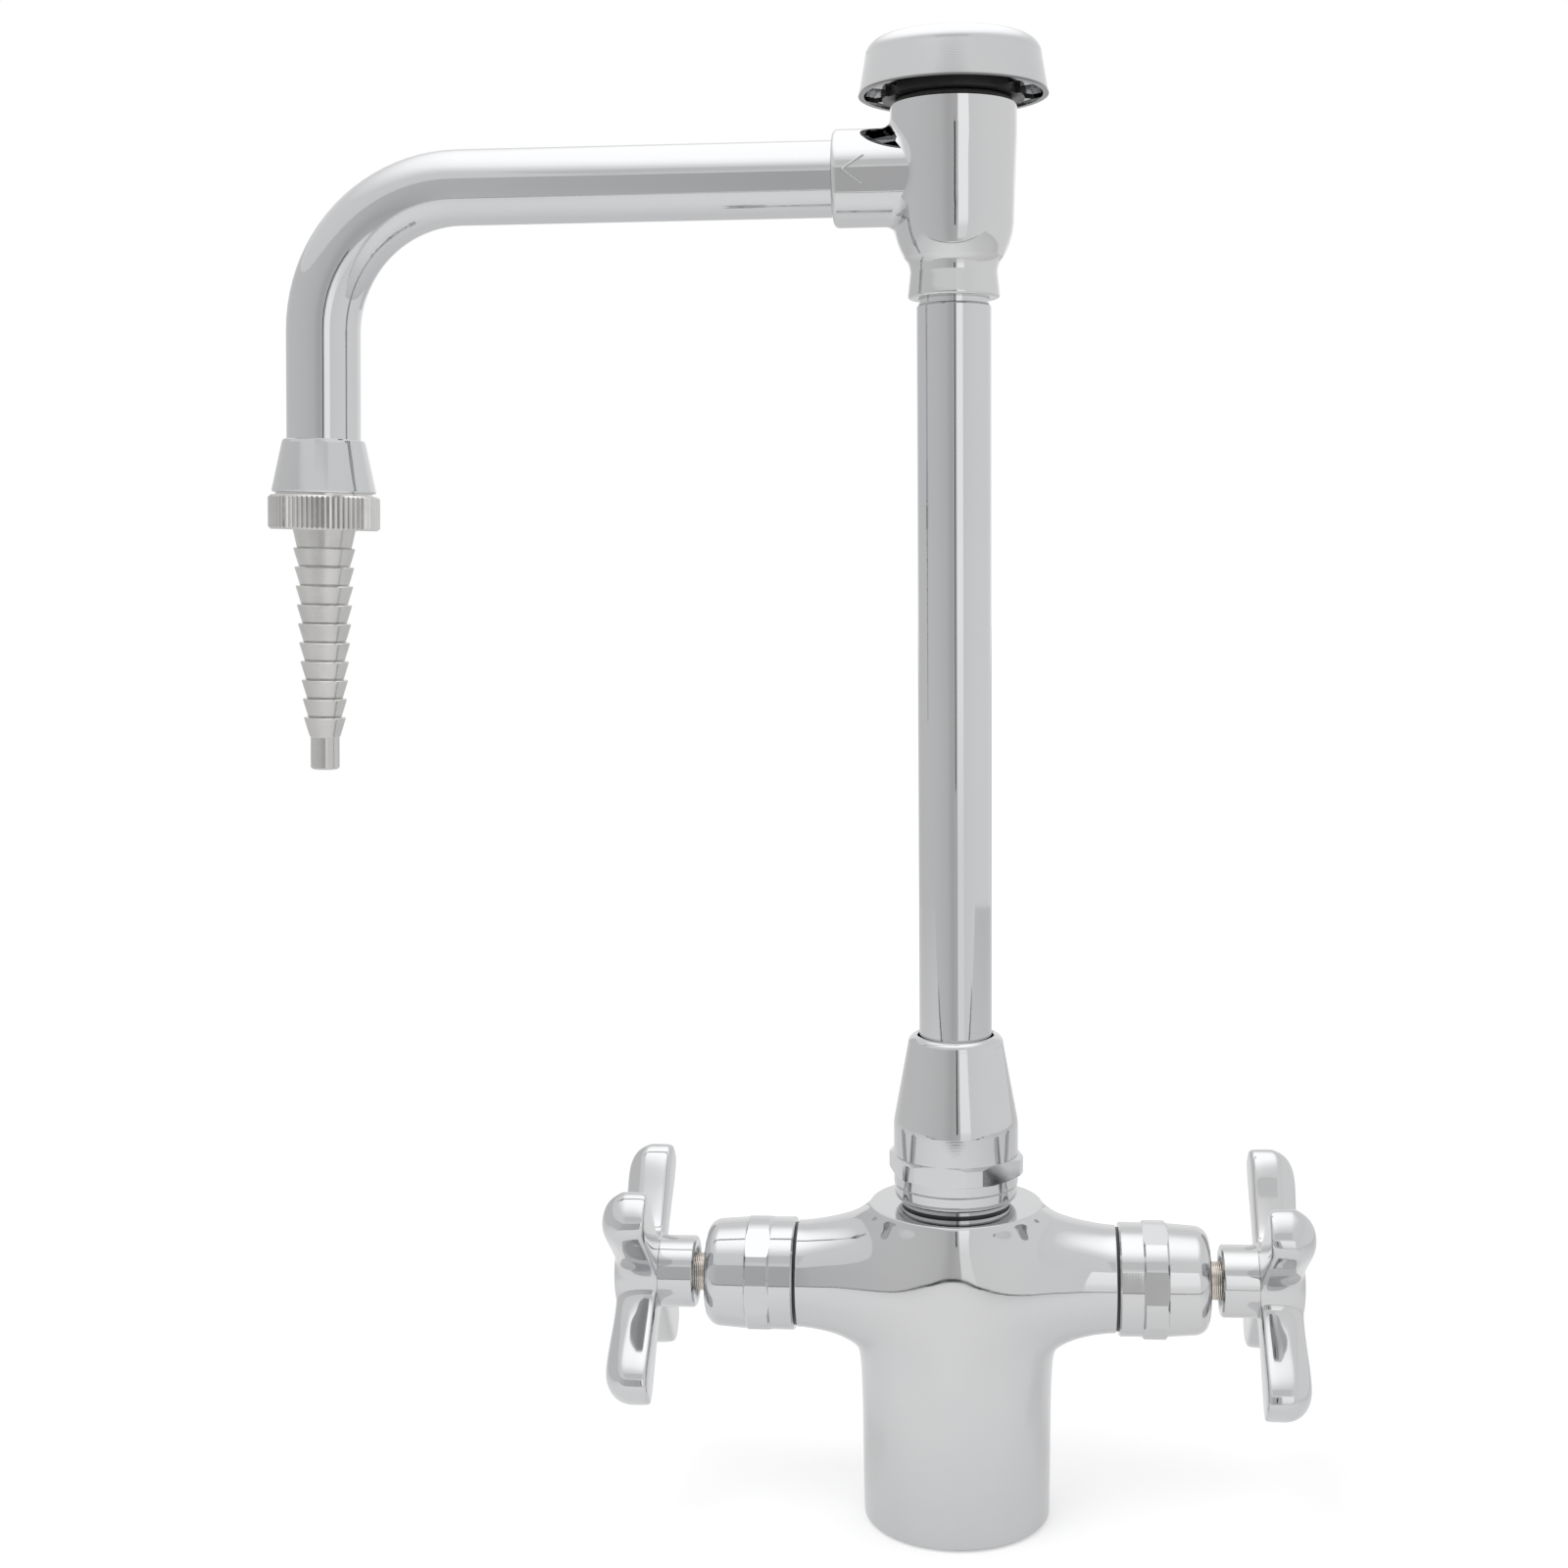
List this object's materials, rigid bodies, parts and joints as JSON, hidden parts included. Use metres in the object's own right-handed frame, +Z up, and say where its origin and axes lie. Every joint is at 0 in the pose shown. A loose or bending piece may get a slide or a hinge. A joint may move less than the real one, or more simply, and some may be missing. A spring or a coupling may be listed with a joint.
{
  "type": "deck mounted laboratory faucet",
  "caption": "Deck-mounted mixing faucet with two cross-handle valves, a swivelling riser, a capped vacuum breaker, a bent spout and a barbed hose end.",
  "frame": {"origin": "centre of the mounting hole in the body's underside, on the deck", "axes": "+Z up along the riser, +X along the right-hand valve, the spout points to -X at rest and the front faces -Y"},
  "size_m": [0.2491, 0.054, 0.3537],
  "materials": {
    "chrome": "polished",
    "dull_nickel": "satin nickel",
    "plain_brass": "machined",
    "black_plastic": "moulded",
    "black_rubber": "moulded",
    "white_packing": "machined",
    "grey_fibre": "moulded",
    "red_index": "moulded",
    "blue_index": "moulded"
  },
  "bodies": {
    "base": {"faucet_body": "chrome", "swivel_adapter": "chrome", "adapter_gasket": "black_plastic", "swivel_nut": "chrome", "left_valve_seat": "plain_brass", "left_valve_sleeve": "plain_brass", "left_bonnet_gasket": "black_plastic", "left_packing": "white_packing", "left_packing_washer": "plain_brass", "left_bonnet_nut": "chrome", "right_valve_seat": "plain_brass", "right_valve_sleeve": "plain_brass", "right_bonnet_gasket": "black_plastic", "right_packing": "white_packing", "right_packing_washer": "plain_brass", "right_bonnet_nut": "chrome"},
    "left_disc": {"left_disc_holder": "plain_brass", "left_seat_washer": "black_rubber", "left_washer_screw": "plain_brass"},
    "left_stem": {"left_spindle": "dull_nickel", "left_handle": "chrome", "left_handle_screw": "dull_nickel", "left_index_button": "red_index"},
    "right_disc": {"right_disc_holder": "plain_brass", "right_seat_washer": "black_rubber", "right_washer_screw": "plain_brass"},
    "right_stem": {"right_spindle": "dull_nickel", "right_handle": "chrome", "right_handle_screw": "dull_nickel", "right_index_button": "blue_index"},
    "spout": {"riser_tube": "chrome", "swivel_bush": "plain_brass", "lower_swivel_ring": "black_rubber", "upper_swivel_ring": "black_rubber", "swivel_washer": "white_packing", "breaker_body": "chrome", "breaker_seat": "plain_brass", "breaker_bonnet": "black_plastic", "bonnet_ring": "black_rubber", "breaker_cap": "chrome", "spout_tube": "chrome", "outlet_adapter": "chrome", "outlet_washer": "grey_fibre", "hose_end": "dull_nickel"},
    "poppet": {"poppet": "white_packing", "poppet_seal": "black_rubber", "vent_seal": "black_rubber"}
  },
  "joints": [
    {"name": "spout_swing", "type": "hinge", "parent": "base", "child": "spout", "pos_m": [0, 0, 0.1], "axis": [0, 0, 1], "continuous": true},
    {"name": "left_lift", "type": "slide", "parent": "base", "child": "left_disc", "axis": [-1, 0, 0], "range_m": [0, 0.0032]},
    {"name": "left_turn", "type": "hinge", "parent": "left_disc", "child": "left_stem", "pos_m": [0, 0, 0.0597], "axis": [-1, 0, 0], "range_deg": [0, 360]},
    {"name": "right_lift", "type": "slide", "parent": "base", "child": "right_disc", "axis": [1, 0, 0], "range_m": [0, 0.0032]},
    {"name": "right_turn", "type": "hinge", "parent": "right_disc", "child": "right_stem", "pos_m": [0, 0, 0.0597], "axis": [1, 0, 0], "range_deg": [0, 360]},
    {"name": "poppet_lift", "type": "slide", "parent": "spout", "child": "poppet", "axis": [0, 0, 1], "range_m": [0, 0.0032]}
  ],
  "couplings": [
    {"joint": "left_lift", "follows": "left_turn", "m_per_rad": 0.00050532},
    {"joint": "right_lift", "follows": "right_turn", "m_per_rad": 0.00050532}
  ]
}
